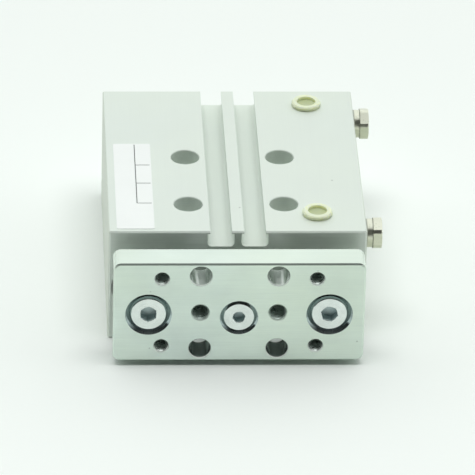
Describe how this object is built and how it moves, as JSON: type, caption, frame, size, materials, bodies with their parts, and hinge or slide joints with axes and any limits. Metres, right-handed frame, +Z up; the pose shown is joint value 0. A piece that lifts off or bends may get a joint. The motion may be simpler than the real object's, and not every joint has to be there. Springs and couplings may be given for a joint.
{
  "type": "guided pneumatic cylinder",
  "caption": "Compact pneumatic cylinder with guide rods: a grooved aluminium housing whose piston drives a drilled steel front plate out and back in a straight line.",
  "frame": {"origin": "middle of the housing's bottom face", "axes": "+X across the housing to the side with the ports, +Y from the front plate to the rear, +Z up from the bottom face"},
  "size_m": [0.0714, 0.09, 0.0332],
  "materials": {
    "housing_aluminium": "matte clear anodised extrusion",
    "bare_aluminium": "turned",
    "plate_steel": "ground and zinc-plated",
    "screw_steel": "zinc-plated, satin",
    "chromed_rod": "hard chrome, polished",
    "spring_steel": "phosphated",
    "bush_bronze": "sintered, oiled",
    "nickel_brass": "nickel-plated, satin",
    "black_rubber": "smooth nitrile rubber",
    "felt": "oiled wool felt",
    "cap_plastic": "soft natural polyethylene",
    "gasket_grey": "plain",
    "label_film": "white film with plain ruled lines",
    "magnet_compound": "bonded ferrite",
    "wear_plastic": "filled plastic",
    "bumper_urethane": "urethane"
  },
  "bodies": {
    "housing_unit": {"housing": "housing_aluminium", "rod_cover": "bare_aluminium", "head_cover": "bare_aluminium", "rod_seal": "black_rubber", "rod_cover_o_ring": "black_rubber", "head_cover_o_ring": "black_rubber", "left_guide_wiper": "black_rubber", "right_guide_wiper": "black_rubber", "rod_bush": "bush_bronze", "left_front_guide_bush": "bush_bronze", "left_rear_guide_bush": "bush_bronze", "right_front_guide_bush": "bush_bronze", "right_rear_guide_bush": "bush_bronze", "front_retaining_ring": "spring_steel", "rear_retaining_ring": "spring_steel", "left_grease_felt": "felt", "right_grease_felt": "felt", "front_port_cap": "cap_plastic", "rear_port_cap": "cap_plastic", "front_side_plug": "nickel_brass", "rear_side_plug": "nickel_brass", "front_plug_gasket": "gasket_grey", "rear_plug_gasket": "gasket_grey", "blank_label": "label_film"},
    "moving_unit": {"front_plate": "plate_steel", "left_guide_rod": "chromed_rod", "right_guide_rod": "chromed_rod", "guide_rod_screws": "screw_steel", "piston_rod": "chromed_rod", "piston_rod_screw": "screw_steel", "piston": "bare_aluminium", "piston_seal": "black_rubber", "magnet_ring": "magnet_compound", "wear_ring": "wear_plastic", "piston_o_ring": "black_rubber", "piston_nut": "screw_steel", "front_bumper": "bumper_urethane", "rear_bumper": "bumper_urethane"}
  },
  "joints": [
    {"name": "plate_slide", "type": "slide", "parent": "housing_unit", "child": "moving_unit", "axis": [0, -1, 0], "range_m": [0, 0.04]}
  ]
}
